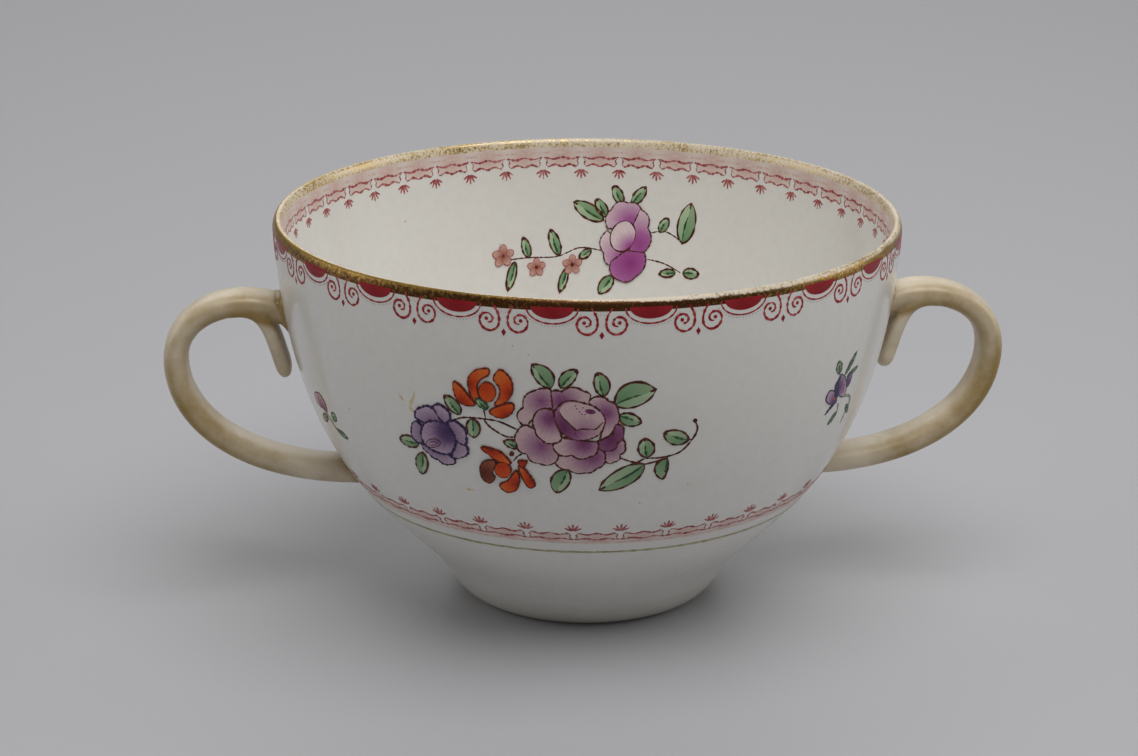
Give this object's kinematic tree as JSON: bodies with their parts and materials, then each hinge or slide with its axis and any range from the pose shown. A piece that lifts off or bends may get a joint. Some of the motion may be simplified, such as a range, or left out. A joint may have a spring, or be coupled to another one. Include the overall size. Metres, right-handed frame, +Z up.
{
  "type": "handled soup cup",
  "caption": "Round glazed ceramic soup cup on a low foot ring, with opposed strap loop handles and a gilded lip, for serving and drinking broth.",
  "frame": {"origin": "on the table, under the middle of the foot ring", "axes": "+Z up the bowl's axis, X through both handles, -Y towards the side with the main spray"},
  "size_m": [0.1362, 0.1, 0.0632],
  "materials": {
    "glaze": "gloss",
    "gilt": "satin",
    "worn_gilt": "satin",
    "enamel": "gloss"
  },
  "bodies": {
    "root": {"bowl": "glaze", "foot_ring": "glaze", "gilt_lip": "gilt", "left_handle": "worn_gilt", "right_handle": "worn_gilt", "left_upper_slip": "glaze", "left_lower_slip": "glaze", "right_upper_slip": "glaze", "right_lower_slip": "glaze"}
  },
  "joints": []
}
